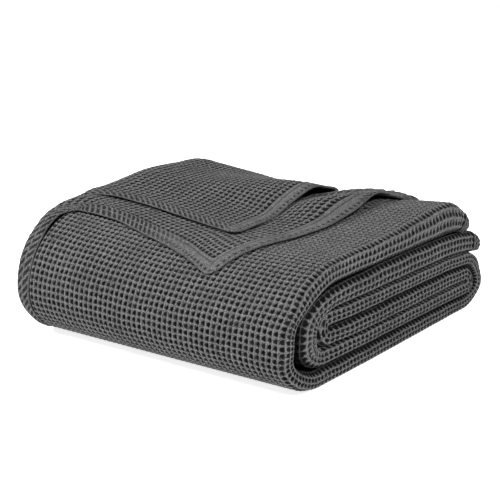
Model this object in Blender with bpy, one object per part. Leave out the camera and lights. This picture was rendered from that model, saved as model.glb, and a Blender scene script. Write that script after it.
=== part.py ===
"""Folded waffle weave cotton blanket, built as one closed body in metres.

The blanket is one cloth.  Across its width it is folded in half and then in
thirds, so every panel of the stack is a bundle of six layers.  Along its
length it is folded in half and then in thirds again, which stacks six panels.
Two corners of the cloth come up round the left end and lie over the top as
an upper and a lower flap, and each of them is turned under at the back.
X runs along the long front fold, Y to the back and Z up from the surface.
The tables are measured from the stack's own left end and front; the body is
moved at the end so that the origin is under the middle of its outline box.
"""

import math

import bpy
import numpy as np

# ---------------------------------------------------------------- cloth sizes
CLOTH = 0.0024          # thickness of the weave
HEM_SWELL = 0.0010      # extra thickness where the hem of a flap is turned
HEM_WIDTH = 0.018       # width of the turned hem on the flaps

# ----------------------------------------------------------------- pack sizes
RIGHT_X = 0.3900        # right end of the folded stack
LEFT_X = 0.0240         # left end of the folded stack, behind the wrapped hem
END_PITCH = 0.0040      # layer spacing round the right and left ends
SOLE = 0.5 * CLOTH      # middle of the lowest layer over the surface
MIDDLE_X = (0.140, 0.260)
SQUARE = 0.67           # squareness of the layers' end bends, 1 for a round one

# one row per panel: middle height, thickness of its six layers, y of the
# front and back ends of its straight part, steps along the straight part
PANELS = {
    "top":    (0.1218, 0.0264, 0.0870, 0.3810, 0),
    "second": (0.0922, 0.0240, 0.0860, 0.4220, 0),
    "third":  (0.0698, 0.0184, 0.0667, 0.3830, 3),
    "fourth": (0.0494, 0.0190, 0.0667, 0.3880, 3),
    "fifth":  (0.0292, 0.0184, 0.0560, 0.3880, 3),
    "lowest": (0.0093, 0.0186, 0.0440, 0.3830, 5),
}

# one row per fold between two panels: y and height of its furthest point, its
# thickness there and the steps in its first and second quarter
FOLDS = {
    ("top", "lowest"):   (-0.0155, 0.0520, 0.0225, 7, 4),
    ("lowest", "third"):  (0.4240, 0.0400, 0.0185, 4, 4),
    ("third", "fourth"):  (0.0565, 0.0596, 0.0187, 3, 3),
    ("fourth", "fifth"):  (0.3981, 0.0393, 0.0187, 3, 3),
    ("fifth", "second"):  (0.0290, 0.0550, 0.0330, 4, 5),
}
STACK_ORDER = ("top", "lowest", "third", "fourth", "fifth", "second")

# one row per station along the two panels that end free at the back, from
# the front: y, middle height and thickness, swelling and then pinched
FREE_PANELS = {
    "top": ((0.160, 0.1228, 0.0284), (0.240, 0.1256, 0.0338), (0.310, 0.1286, 0.0392),
            (0.342, 0.1280, 0.0380), (0.361, 0.1242, 0.0315), (0.373, 0.1175, 0.0235),
            (0.381, 0.1100, 0.0168)),
    "second": ((0.190, 0.0938, 0.0258), (0.300, 0.0934, 0.0258), (0.380, 0.0918, 0.0254),
               (0.408, 0.0893, 0.0240), (0.422, 0.0850, 0.0180)),
}

# one row per layer of a bundle: place in the bundle counted from its middle
# and the direction it runs in, then the fold that follows it
LAYER_RUN = (
    (2.5, 1, 4),
    (-2.5, -1, 3),
    (0.5, 1, 1),
    (-0.5, -1, 1),
    (-1.5, 1, 3),
    (1.5, -1, 0),
)

# ---------------------------------------------------------------- flap sizes
FLAP_PITCH = 0.0044     # spacing of the flap layers
FLAP_LIE = 0.0030       # middle of the lower flap above the cloth it lies on
UNDER_LIE = 0.0022      # middle of the lowest turned under layer above it
WRAP_X = -0.0175        # middle of the outermost layer at the left end
HEM_EDGE_X = 0.0228     # wrapped hem edge, just clear of the stack's left end
UNDER_LENGTHS = (0.038, 0.085)
SEAM_LIFT = 0.0003      # rise of the outer flap just left of the stack
SEAM_PITCH = 0.0037     # spacing of the two flaps there
CORNER_LIFT = 0.0085    # height of the outer flap where it turns upwards
BEHIND_HEM = 0.022      # first plain column of a flap behind its front hem
LOOP_STEPS = 5          # steps round the back fold of a flap
LOOP_GROWTH = 0.008     # extra length of that fold towards the right hem
TOP_START = 0.012       # first cross row on top, behind the last end row
CORNER_SHARE = 0.5      # share of a layer's inset in height at the lower turn
WRAP_ANGLES = (0.0, 36.0, 66.0, 90.0)
WRAP_WIDTHS = (0.0, HEM_WIDTH, 0.028, 0.038)
WRAP_DEPTH = 0.030      # depth of the quarter bend behind the wrapped hem
WRAP_LIFT = (30.0, 58.0)   # angles over which that hem rises over the stack
CLIMB_Y = (0.135, 0.222)    # y over which a flap climbs onto its turned under back
ARCH_Y = (0.17, 0.245)      # y over which the arches at the right hems set in
UPPER_ARCH = (0.0145, 0.06, 0.22)   # height, then x where it starts and is full
UPPER_DROP = (1.00, 0.272, 0.308)   # share lost again behind the crest, y from and to
LOWER_ARCH = (0.0070, 0.245, 0.300)
LOWER_DROP = (1.50, 0.312, 0.364)
CARRIED = 0.1           # share of the lower arch that the upper flap takes on
SETTLE_X = (0.250, 0.280)   # x over which a turned under layer settles past the next
CLOSE = 0.30                # share by which the layers close up at the back fold
CLOSE_X = (0.12, 0.22)
CLOSE_Y = (0.262, 0.302)
HEM_DROOP = (0.003, 0.010, 0.0, 0.0)    # how far each layer's right edge hangs down
DROOP_Y = (0.120, 0.200)    # y over which that droop grows
RAISED_Y = (0.235, 0.300)   # y over which it ends
HEM_GAP = 0.0034            # least height of a hanging edge over what is under it
EDGE_STEPS = 6          # passes that settle a front hem on its slanted edge
BACK_READ_Y = 0.30      # y at which the right hem is read for the back fold
FRONT_READ_Y = 0.10     # y at which it is read for the front hem

# one row per cross row of a flap round the left end: x from the outermost
# layer, share of an inner layer's inset taken in x, share of the full height,
# drop below the full height, y of the back fold
END_ROWS = (
    (0.0225, 0.00, 0.000, 0.0000, 0.383),
    (0.0130, 0.70, 0.055, 0.0000, 0.376),
    (0.0055, 1.00, 0.220, 0.0000, 0.362),
    (0.0000, 1.00, 0.450, 0.0000, 0.347),
    (-0.0025, 1.00, 0.680, 0.0000, 0.336),
    (0.0010, 1.00, 1.000, 0.0220, 0.331),
    (0.0075, 0.80, 1.000, 0.0105, 0.328),
    (0.0175, 0.55, 1.000, 0.0035, 0.326),
    (0.0310, 0.25, 1.000, 0.0005, 0.325),
)
FIRST_FRONT_ROW = 1     # first row that carries the wrapped front hem
FIRST_BACK_ROW = 2      # first row that carries the turned under back
TOP_SHARES = (0.08, 0.28, 0.50, 0.75, 1.00)

# one row per end row with a front hem: angle round the front fold, x of edge
HEM_ROUND_END = (
    (-52.0, HEM_EDGE_X), (-28.0, HEM_EDGE_X), (0.0, HEM_EDGE_X), (25.0, HEM_EDGE_X),
    (42.0, HEM_EDGE_X), (53.0, HEM_EDGE_X), (61.0, 0.0255), (66.0, 0.034),
)

# edges of the flaps on top: x and y along the front hem, y and x along the
# right hem
LOWER_FRONT = ((0.034, 0.043), (0.065, 0.049), (0.111, 0.046), (0.142, 0.038),
               (0.182, 0.031), (0.223, 0.020), (0.250, 0.010), (0.272, 0.001))
LOWER_RIGHT = ((-0.010, 0.266), (0.001, 0.272), (0.030, 0.283), (0.080, 0.302),
               (0.130, 0.310), (0.200, 0.315), (0.270, 0.311), (0.310, 0.309),
               (0.345, 0.319), (0.365, 0.330))
UPPER_FRONT = ((0.000, 0.086), (0.040, 0.098), (0.080, 0.101), (0.146, 0.096),
               (0.201, 0.086), (0.254, 0.074))
UPPER_RIGHT = ((0.074, 0.254), (0.130, 0.249), (0.200, 0.245), (0.270, 0.245),
               (0.340, 0.240))

# back folds of the flaps on top: x and y, the lower one inside the upper
UPPER_BACK = ((0.015, 0.325), (0.100, 0.313), (0.180, 0.303), (0.240, 0.300))
LOWER_BACK = ((0.015, 0.325), (0.100, 0.309), (0.180, 0.297), (0.230, 0.293),
              (0.270, 0.322), (0.305, 0.366))

# rise of the stack over its nominal height, a row per x, a column per y
RISE_Y = (0.00, 0.20, 0.34, 0.43)
RISE = (
    (0.00, 0.150, 0.102, 0.000, -0.06),
    (0.10, 0.088, 0.042, -0.050, -0.08),
    (0.20, 0.030, 0.000, -0.082, -0.08),
    (0.30, 0.010, 0.000, -0.035, -0.07),
    (0.39, 0.000, 0.008, 0.010, -0.06),
)
# recess in the right end: depth, then middle and reach in y, middle and reach in z
RECESS = (0.0055, 0.050, 0.050, 0.057, 0.034)
# drift of the right end in x: size, waves per metre up and back; x where it sets in
DRIFT = (0.0012, 140.0, 9.0)
AT_RIGHT = (0.28, 0.38)
# drift of the back in y: size, waves per metre along x and up, phase; y where it sets in
BACK_DRIFT = (0.0035, 8.0, 38.0, -0.8)
AT_BACK = (0.28, 0.42)

# --------------------------------------------------------------------- finish
COTTON = (0.085, 0.082, 0.084, 1.0)
ROUGHNESS = 0.93
CREASE = 50.0           # angle over which an edge is drawn sharp


def ease(value, low, high):
    """Smooth step from 0 at low to 1 at high."""
    share = min(max((value - low) / (high - low), 0.0), 1.0)
    return share * share * (3.0 - 2.0 * share)


def along(rows, value):
    """Straight-line reading of a two-column table."""
    return float(np.interp(value, [r[0] for r in rows], [r[1] for r in rows]))


# ------------------------------------------------------------ stack section
def section_stations():
    """Middle line of the bundle: y, z, outward normal and thickness."""
    stations = []

    def add(y, z, dy, dz, thick):
        length = math.hypot(dy, dz)
        stations.append((y, z, dz / length, -dy / length, thick))

    for index, name in enumerate(STACK_ORDER):
        z, thick, y_front, y_back, steps = PANELS[name]
        toward = -1.0 if index % 2 == 0 else 1.0
        y_start, y_end = (y_back, y_front) if toward < 0 else (y_front, y_back)
        if name in FREE_PANELS:
            rows = [(y_front, z, thick), *FREE_PANELS[name]]
            slopes = np.gradient([r[1] for r in rows], [r[0] for r in rows])
            slopes[0] = 0.0
            for row, slope in list(zip(rows, slopes))[::int(toward)]:
                add(row[0], row[1], toward, toward * slope, row[2])
        for step in range(steps + 1 if steps else 0):
            y = y_start + (y_end - y_start) * step / steps
            add(y, z, toward, 0.0, thick)
        if index + 1 == len(STACK_ORDER):
            break
        after = STACK_ORDER[index + 1]
        y_far, z_far, thick_far, first_steps, second_steps = FOLDS[(name, after)]
        z_next, thick_next = PANELS[after][:2]
        y_next = PANELS[after][2] if toward < 0 else PANELS[after][3]
        quarters = first_steps + second_steps
        for step in range(1, quarters):
            if step <= first_steps:
                a = 0.5 * math.pi * step / first_steps
                grown = thick + (thick_far - thick) * math.sin(a) ** 2
                add(y_end + (y_far - y_end) * math.sin(a),
                    z_far + (z - z_far) * math.cos(a),
                    (y_far - y_end) * math.cos(a),
                    -(z - z_far) * math.sin(a), grown)
            else:
                a = 0.5 * math.pi * (step - first_steps) / second_steps
                grown = thick_far + (thick_next - thick_far) * math.sin(a) ** 2
                add(y_next + (y_far - y_next) * math.cos(a),
                    z_far + (z_next - z_far) * math.sin(a),
                    -(y_far - y_next) * math.sin(a),
                    (z_next - z_far) * math.cos(a), grown)
    return stations


def layer_stations():
    """One bundle across its width: x and place in the bundle."""
    right = RIGHT_X - 2.5 * END_PITCH - 0.5 * CLOTH
    left = LEFT_X + 1.5 * END_PITCH + 0.5 * CLOTH
    out = []
    for index, (place, run, bends) in enumerate(LAYER_RUN):
        start = LEFT_X if index == 0 else (left if run > 0 else right)
        stop = LEFT_X if index + 1 == len(LAYER_RUN) else (right if run > 0 else left)
        middle = MIDDLE_X if run > 0 else MIDDLE_X[::-1]
        out += [(x, place) for x in (start, *middle, stop)]
        if index + 1 == len(LAYER_RUN):
            break
        following = LAYER_RUN[index + 1][0]
        centre = 0.5 * (place + following)
        reach = 0.5 * (place - following)
        for step in range(1, bends + 1):
            a = math.pi * step / (bends + 1)
            over = math.copysign(abs(math.cos(a)) ** SQUARE, math.cos(a))
            out.append((stop + run * abs(reach) * END_PITCH * math.sin(a) ** SQUARE,
                        centre + reach * over))
    return out


def front_surface(angle):
    """Outer face of the front fold at an angle, -90 underneath to 90 on top."""
    y_far, z_far, thick_far = FOLDS[("top", "lowest")][:3]
    name = "top" if angle >= 0.0 else "lowest"
    z, thick, y_front = PANELS[name][:3]
    a = math.radians(abs(angle))
    y = y_front + (y_far - y_front) * math.cos(a)
    height = z_far + (z - z_far) * math.sin(a)
    ny = -math.cos(a) / (y_front - y_far)
    nz = math.sin(a) / (z - z_far)
    size = math.hypot(ny, nz)
    half = 0.5 * (thick + (thick_far - thick) * math.cos(a) ** 2)
    return y + half * ny / size, height + half * nz / size, ny / size, nz / size


# outer face of the front fold and of the top panel: y and height
SURFACE = [front_surface(float(angle))[:2] for angle in range(0, 91, 3)]
SURFACE += [(row[0], row[1] + 0.5 * row[2]) for row in FREE_PANELS["top"][:5]]


def top_surface(y):
    """Height of the stack's top over the surface, before its rise."""
    return along(SURFACE, y)


# ------------------------------------------------------------------- warping
def warp(point):
    """Slow rise, recess and drift that keep the pack from being regular."""
    x, y, z = point
    columns = [np.interp(x, [r[0] for r in RISE], [r[k] for r in RISE]) for k in (1, 2, 3, 4)]
    rise = float(np.interp(y, RISE_Y, columns))
    depth, y_middle, y_reach, z_middle, z_reach = RECESS
    recess = depth * math.exp(-((y - y_middle) / y_reach) ** 2
                              - ((z - z_middle) / z_reach) ** 2)
    drift = DRIFT[0] * math.sin(DRIFT[1] * z + DRIFT[2] * y)
    back_drift = BACK_DRIFT[0] * math.sin(BACK_DRIFT[1] * x + BACK_DRIFT[2] * z
                                          + BACK_DRIFT[3])
    return (x + ease(x, *AT_RIGHT) * (drift - recess),
            y + ease(y, *AT_BACK) * back_drift,
            SOLE + (z - SOLE) * (1.0 + rise))


class Sheet:
    """Nodes on the middle of the cloth and the four-sided patches between."""

    def __init__(self):
        self.places = []
        self.thick = []
        self.patches = []

    def node(self, point, thick=CLOTH):
        self.places.append(warp(point))
        self.thick.append(thick)
        return len(self.places) - 1

    def strip(self, near, far, flip=False):
        """Patches between two rows of nodes; None leaves a patch out."""
        for k in range(len(near) - 1):
            corners = (near[k], near[k + 1], far[k + 1], far[k])
            if None not in corners:
                self.patches.append(corners[::-1] if flip else corners)


def build_stack(sheet):
    """The six panels of six layers; returns node numbers by layer and place."""
    section = section_stations()
    layers = layer_stations()
    grid = []
    for x, place in layers:
        row = []
        for y, z, ny, nz, thick in section:
            w = place * (thick - CLOTH) / 5.0
            row.append(sheet.node((x, y + w * ny, z + w * nz)))
        grid.append(row)
    for near, far in zip(grid, grid[1:]):
        sheet.strip(near, far)
    first = next(k for k, s in enumerate(section)
                 if abs(s[0] - PANELS["lowest"][2]) < 1e-9 and s[1] < 0.012)
    return grid, range(first, first + PANELS["lowest"][4] + 1)


# --------------------------------------------------------------------- flaps
def flap_lie(inset, y):
    """Middle of a flap layer above the top surface at y."""
    if inset == 3:
        return UNDER_LIE
    if inset == 2:
        return UNDER_LIE + FLAP_PITCH
    spread = UNDER_LIE + 2.0 * FLAP_PITCH - FLAP_LIE
    lower = FLAP_LIE + spread * ease(y, *CLIMB_Y)
    return lower if inset == 1 else lower + FLAP_PITCH


def flap_lift(inset, x, y):
    """Arch of a flap over its own fold near its right hem."""
    closed = CLOSE * FLAP_PITCH * ease(x, *CLOSE_X) * ease(y, *CLOSE_Y)
    if inset == 2:
        return -closed - (FLAP_PITCH - closed) * ease(x, *SETTLE_X)
    if inset == 3:
        return 0.0
    near_back = ease(y, *ARCH_Y)
    upper = UPPER_ARCH[0] * ease(x, *UPPER_ARCH[1:]) * near_back
    upper *= 1.0 - UPPER_DROP[0] * ease(y, *UPPER_DROP[1:])
    lower = LOWER_ARCH[0] * ease(x, *LOWER_ARCH[1:]) * near_back
    lower *= 1.0 - LOWER_DROP[0] * ease(y, *LOWER_DROP[1:])
    lift = lower if inset == 1 else upper + CARRIED * lower
    return lift - (3 - inset) * closed


def hem_height(inset, x, y):
    """Height of a layer's right edge, which hangs down beside the arch."""
    height = flap_lie(inset, y) + flap_lift(inset, x, y)
    if HEM_DROOP[inset] == 0.0:
        return height
    droop = HEM_DROOP[inset] * ease(y, *DROOP_Y) * (1.0 - ease(y, *RAISED_Y))
    beneath = flap_lie(1, y) if inset == 0 else 0.0
    return max(height - droop, min(height, beneath + HEM_GAP))


def loop_growth(row):
    """Extra length of a flap's back fold at a cross row."""
    share = row - len(END_ROWS)
    if share < 0:
        return 0.0
    return LOOP_GROWTH * TOP_SHARES[min(share, len(TOP_SHARES) - 1)] ** 2


def flap_point(row, inset, y, right):
    """A point of a flap layer: cross row, inset from outermost layer, y."""
    depth = inset * FLAP_PITCH
    if row < len(END_ROWS):
        dx, share_in, share_up, drop, _ = END_ROWS[row]
        x = WRAP_X + dx + share_in * depth
        full = top_surface(y) + flap_lie(inset, y)
        z = full * share_up - drop
        if row == 0:
            z = SOLE + SEAM_LIFT + inset * SEAM_PITCH
        if row == 1:
            z = CORNER_LIFT + CORNER_SHARE * depth
        return x, y, z
    start = WRAP_X + END_ROWS[-1][0] + TOP_START
    share = row - len(END_ROWS)
    last = len(TOP_SHARES) - 1
    if share <= last:
        x = start + TOP_SHARES[share] * (right - HEM_WIDTH - start)
        height = flap_lie(inset, y) + flap_lift(inset, x, y)
    else:
        x = right
        height = hem_height(inset, x, y)
    return x, y, top_surface(y) + height


def build_flap(sheet, inset, seam, first_column, front_rows, front_table, right_table,
               back_table):
    """One flap: rows run from the lowest panel round the end and over."""
    rows = len(END_ROWS) + len(TOP_SHARES) + 1
    shared_y = [PANELS["lowest"][2] + (PANELS["lowest"][3] - PANELS["lowest"][2]) * k
                / PANELS["lowest"][4] for k in range(first_column, PANELS["lowest"][4] + 1)]
    under = 3 - inset
    fronts = len(WRAP_ANGLES) if front_rows else 2
    grid = [[None] * fronts + list(seam) + [None] * (LOOP_STEPS + len(UNDER_LENGTHS))]
    for row in range(rows):
        is_end = row < len(END_ROWS)
        y_back = END_ROWS[row][4] if is_end else along(
            back_table, flap_point(row, inset, BACK_READ_Y, along(right_table, BACK_READ_Y))[0])
        growth = loop_growth(row)
        y_back -= growth
        hem_row = row == rows - 1
        line = []
        # front hem and the cloth just behind it
        guess_x = flap_point(row, inset, FRONT_READ_Y, along(right_table, FRONT_READ_Y))[0]
        if front_rows and is_end and row >= FIRST_FRONT_ROW:
            angle, edge_x = front_rows[row - FIRST_FRONT_ROW]
            ey, ez, ny, nz = front_surface(angle)
            lift = FLAP_LIE * ease(angle, *WRAP_LIFT)
            edge = np.array((edge_x, ey + lift * ny, ez + lift * nz))
            y_first = float(edge[1]) + WRAP_DEPTH
            inner = np.array(flap_point(row, inset, y_first, 0.0))
            across = np.array((inner[0] - edge[0], 0.0, 0.0))
            inward = np.array((0.0, inner[1] - edge[1], inner[2] - edge[2]))
            for turn in WRAP_ANGLES:
                a = math.radians(turn)
                spot = edge + math.sin(a) * across + (1.0 - math.cos(a)) * inward
                line.append((tuple(spot), HEM_SWELL if turn == 0.0 else 0.0))
        elif front_rows and not is_end:
            for width in WRAP_WIDTHS:
                y_edge = 0.0
                right = along(right_table, width)
                for _ in range(EDGE_STEPS):
                    spot = flap_point(row, inset, y_edge + width, right)
                    y_edge = along(front_table, spot[0])
                    right = along(right_table, y_edge + width)
                line.append((spot, HEM_SWELL if width == 0.0 or hem_row else 0.0))
            y_first = line[-1][0][1]
        elif not front_rows and row >= FIRST_FRONT_ROW:
            y_edge = along(front_table, guess_x)
            for width in (0.0, HEM_WIDTH):
                right = along(right_table, y_edge + width)
                spot = flap_point(row, inset, y_edge + width, right)
                line.append((spot, HEM_SWELL if width == 0.0 or hem_row else 0.0))
            y_first = line[-1][0][1]
        else:
            line += [None] * fronts
            y_first = None
        # columns shared with the lowest panel
        for y in shared_y:
            if y_first is not None:
                begin = max(y_first + BEHIND_HEM, shared_y[0])
                y = begin + (y - shared_y[0]) * (y_back - begin) / (shared_y[-1] - shared_y[0])
            spot = flap_point(row, inset, y, along(right_table, y))
            line.append((spot, HEM_SWELL if hem_row else 0.0))
        # turned under at the back
        if row >= FIRST_BACK_ROW:
            upper = np.array(line[-1][0])
            lower = np.array(flap_point(row, under, y_back, along(right_table, y_back)))
            middle = 0.5 * (upper + lower)
            radius = 0.5 * float(np.linalg.norm(upper - lower))
            for step in range(1, LOOP_STEPS + 1):
                a = math.pi * step / LOOP_STEPS
                spot = middle + math.cos(a) * (upper - middle)
                spot[1] += (radius + growth) * math.sin(a)
                line.append((tuple(spot), HEM_SWELL if hem_row and step < 3 else 0.0))
            for length in UNDER_LENGTHS:
                y = y_back - length
                line.append((flap_point(row, under, y, along(right_table, y)), 0.0))
        else:
            line += [None] * (LOOP_STEPS + len(UNDER_LENGTHS))
        grid.append([None if spot is None else sheet.node(spot[0], CLOTH + spot[1])
                     for spot in line])
    return grid


# ---------------------------------------------------------------- closed body
def close_sheet(sheet):
    """Both faces of the cloth and its edges as one closed mesh."""
    places = np.array(sheet.places)
    normals = np.zeros_like(places)
    edges = {}
    for patch in sheet.patches:
        a, b, c, d = (places[k] for k in patch)
        face = np.cross(c - a, d - b)
        for k in patch:
            normals[k] += face
        for k in range(4):
            edges[(patch[k], patch[(k + 1) % 4])] = True
    normals /= np.linalg.norm(normals, axis=1)[:, None]
    half = 0.5 * np.array(sheet.thick)[:, None]
    count = len(places)
    vertices = np.concatenate([places + half * normals, places - half * normals])
    faces = []
    for patch in sheet.patches:
        faces += split_patch(vertices, patch)
        faces += split_patch(vertices, [k + count for k in patch[::-1]])
    for start, end in edges:
        if (end, start) not in edges:
            faces.append((start, start + count, end + count))
            faces.append((start, end + count, end))
    return vertices, faces


def split_patch(vertices, patch):
    """Two triangles on the shorter diagonal."""
    a, b, c, d = patch
    if np.linalg.norm(vertices[a] - vertices[c]) <= np.linalg.norm(vertices[b] - vertices[d]):
        return [(a, b, c), (a, c, d)]
    return [(a, b, d), (b, c, d)]


def cloth_material():
    """Dark grey cotton."""
    material = bpy.data.materials.new("waffle_cotton")
    material.use_nodes = True
    shader = material.node_tree.nodes["Principled BSDF"]
    shader.inputs["Base Color"].default_value = COTTON
    shader.inputs["Roughness"].default_value = ROUGHNESS
    shader.inputs["Metallic"].default_value = 0.0
    return material


def main():
    for old in list(bpy.data.objects):
        bpy.data.objects.remove(old, do_unlink=True)
    sheet = Sheet()
    grid, lowest = build_stack(sheet)
    upper_seam = [grid[0][k] for k in lowest][1:]
    lower_seam = [grid[-1][k] for k in lowest]
    upper = build_flap(sheet, 0, upper_seam, 1, (), UPPER_FRONT, UPPER_RIGHT, UPPER_BACK)
    lower = build_flap(sheet, 1, lower_seam, 0, HEM_ROUND_END, LOWER_FRONT, LOWER_RIGHT,
                       LOWER_BACK)
    for near, far in zip(upper, upper[1:]):
        sheet.strip(near, far, flip=True)
    for near, far in zip(lower, lower[1:]):
        sheet.strip(near, far)
    vertices, faces = close_sheet(sheet)
    low, high = vertices.min(axis=0), vertices.max(axis=0)
    vertices -= (0.5 * (low[0] + high[0]), 0.5 * (low[1] + high[1]), low[2])
    mesh = bpy.data.meshes.new("blanket")
    mesh.from_pydata([tuple(v) for v in vertices], [], faces)
    mesh.shade_smooth()
    mesh.set_sharp_from_angle(angle=math.radians(CREASE))
    blanket = bpy.data.objects.new("blanket", mesh)
    bpy.context.scene.collection.objects.link(blanket)
    blanket.data.materials.append(cloth_material())
    print("blanket", len(vertices), "vertices", len(faces), "triangles")


main()
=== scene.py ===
"""Folded waffle weave cotton blanket: its woven cells, hems and flaps.

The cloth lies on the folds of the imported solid.  The outermost cloth is laid
in pieces whose ridges and pits are real, cell by cell; the layers inside the
bundles are one plain closed sheet.  X runs along the long front fold, Y to
the back and Z up; tables are measured from the stack's own left end and front.
"""

import math

import bpy
import numpy as np
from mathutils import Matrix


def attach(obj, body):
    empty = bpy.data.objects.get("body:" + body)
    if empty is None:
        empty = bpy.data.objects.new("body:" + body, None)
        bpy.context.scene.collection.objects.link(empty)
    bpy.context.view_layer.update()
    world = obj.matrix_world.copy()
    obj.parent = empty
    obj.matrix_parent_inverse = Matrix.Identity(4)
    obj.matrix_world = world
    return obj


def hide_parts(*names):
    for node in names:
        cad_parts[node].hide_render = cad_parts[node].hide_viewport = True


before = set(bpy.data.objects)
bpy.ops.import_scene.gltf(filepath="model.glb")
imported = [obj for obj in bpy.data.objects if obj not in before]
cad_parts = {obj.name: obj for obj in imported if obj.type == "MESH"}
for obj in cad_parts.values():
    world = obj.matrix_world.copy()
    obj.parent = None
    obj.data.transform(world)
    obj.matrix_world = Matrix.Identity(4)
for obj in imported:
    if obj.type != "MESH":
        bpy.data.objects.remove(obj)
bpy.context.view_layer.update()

# ---- weave and cloth
CELL_FRONT = 0.0073  # one woven cell along the front
CELL_END = 0.0070  # one woven cell up the right end
FLAP_CELL = (0.0088, 0.0090)  # the same on the flaps, along X and along Y
CREST = 0.0020  # ridges above the middle of the cloth
PIT = 0.0037  # pits below the ridges
LOW_RIDGE = (0.0007, 0.0003)  # dips of the ridges between two crossings
RIDGE = 0.19  # share of the way to the pit that is still ridge
BACK = 0.0019  # inner face below the middle of the cloth
EDGE_ROUND = 0.0026  # rounding of a free edge
EDGE_THINNED = 0.93  # 1 less the squared share of the thickness left at the edge
SAMPLES = (0.0, 0.18, 0.50, 0.82)  # points of the woven face in a cell
CLOTH = 0.0024  # thickness of the plain cloth
HEM_WIDTH = 0.018
HEM_CELLS = 2  # width of a turned hem in cells
HEM_SWELL = 0.0006  # a hem is this much thicker
HEM_BLEND = 0.50  # cells over which a hem passes into the weave
SLANT = 1.1  # cells a hem stroke leans along for one cell across
STROKE = 0.0024  # depth of those strokes
STROKE_ENDS = 3.0  # how steeply they end
SEAM = 0.0010  # depth of the sewn line along a hem
LINE_AT = 1.5  # cells in from the edge to the line pressed along a plain hem
DOTS_AT = 0.45  # and of its row of stitches
PRESSED = (0.0006, 0.0010, 0.34)  # depth of that line and row, half width in cells
UNEVEN = 0.18  # share by which the pits differ in depth
MIXERS = (12.9898, 78.233, 43758.5453)  # turn a cell's two numbers into chance
WAVER = (0.045, 0.025)  # cells by which the ridges wander, slowly and quickly
SLOW_RATES = ((0.83, 0.31), (0.71, 0.40))  # those waves, in radians a cell
QUICK_RATES = ((2.7, 1.1), (2.3, -1.3))
SLOW_PHASE = 2.0
WAVER_EASED = 2.0  # cells over which the wandering dies out at an edge
CORNER = 1.7  # rounding of a flap's corner in cells
ON_FLOOR = 0.0001  # crests underneath are pressed flat

# ---- pack sizes
MOVED = (-0.184577, -0.204118, 0.0)  # from the tables to the middle of the base
RIGHT_X = 0.3900  # the layers' right and left ends
LEFT_X = 0.0240
END_PITCH = 0.0040  # spacing of the layers round the end bends
RIGHT_REACH = 2.5  # half the widest bend at the right end, in layers, and
LEFT_REACH = 1.5  # half the widest one at the left end
RIGHT_BEND = RIGHT_X - RIGHT_REACH * END_PITCH - 0.5 * CLOTH
LEFT_BEND = LEFT_X + LEFT_REACH * END_PITCH + 0.5 * CLOTH
SOLE = 0.5 * CLOTH  # middle height of the lowest layer
SQUARE = 0.67  # squareness of the layers' end bends, 1 for a round one

# middle height, thickness of six layers, y of the front and back ends
PANELS = {
    "top":    (0.1218, 0.0264, 0.0870, 0.3810),
    "second": (0.0922, 0.0240, 0.0860, 0.4220),
    "third":  (0.0698, 0.0184, 0.0667, 0.3830),
    "fourth": (0.0494, 0.0190, 0.0667, 0.3880),
    "fifth":  (0.0292, 0.0184, 0.0560, 0.3880),
    "lowest": (0.0093, 0.0186, 0.0440, 0.3830),
}
# y and height of the furthest point of each fold, and its thickness there
FOLDS = {
    ("top", "lowest"):    (-0.0155, 0.0520, 0.0225),
    ("lowest", "third"):  (0.4240, 0.0400, 0.0185),
    ("third", "fourth"):  (0.0565, 0.0596, 0.0187),
    ("fourth", "fifth"):  (0.3981, 0.0393, 0.0187),
    ("fifth", "second"):  (0.0290, 0.0550, 0.0330),
}
STACK_ORDER = ("top", "lowest", "third", "fourth", "fifth", "second")
# panels with a free end: y, middle height and thickness after the front end
FREE_PANELS = {
    "top": ((0.160, 0.1228, 0.0284), (0.240, 0.1256, 0.0338), (0.310, 0.1286, 0.0392),
            (0.342, 0.1280, 0.0380), (0.361, 0.1242, 0.0315), (0.373, 0.1175, 0.0235),
            (0.381, 0.1100, 0.0168)),
    "second": ((0.190, 0.0938, 0.0258), (0.300, 0.0934, 0.0258), (0.380, 0.0918, 0.0254),
               (0.408, 0.0893, 0.0240), (0.422, 0.0850, 0.0180)),
}
# place of each layer in its bundle and the direction it runs in
LAYER_RUN = ((2.5, 1), (-2.5, -1), (0.5, 1), (-0.5, -1), (-1.5, 1), (1.5, -1))
LAYER_GAPS = 5.0  # gaps between the six
MEAN_PITCH = 0.0044  # mean spacing of those layers
# points on the cloth's path, for the woven cloth and for the inner layers
PANEL_STEPS = 8
FOLD_STEPS = 3
SECTION_DENSITY = 12
INNER_DENSITY = 2
BEND_STEPS = 24
INNER_BEND_STEPS = 6
LAYER_STEPS = 4
SLOPE_STEP = 1e-4  # distance over which a slope is read
HARD_ANGLE = 50.0  # angle from which an inner edge is shaded hard
# size of one cell along the section: named place, distance past it, size
CELL_SIZES = (
    ("top", 0.00, 0.0088), ("top end", -0.05, 0.0086), ("top end", 0.01, 0.0070),
    ("lowest", 0.02, 0.0072), ("lowest end", 0.00, 0.0080), ("third", 0.00, 0.0088),
    ("second end", 0.00, 0.0088),
)
# layer whose cells are counted: named place, distance past it, the layer's place
SEEN_LAYER = (
    ("top", 0.00, 2.5), ("third", 0.00, 2.5), ("third", 0.02, 0.0),
    ("fifth end", -0.010, 0.0), ("fifth end", 0.005, -2.5), ("second", -0.005, -2.5),
    ("second", 0.010, 0.0), ("second end", 0.00, 0.0),
)

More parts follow.
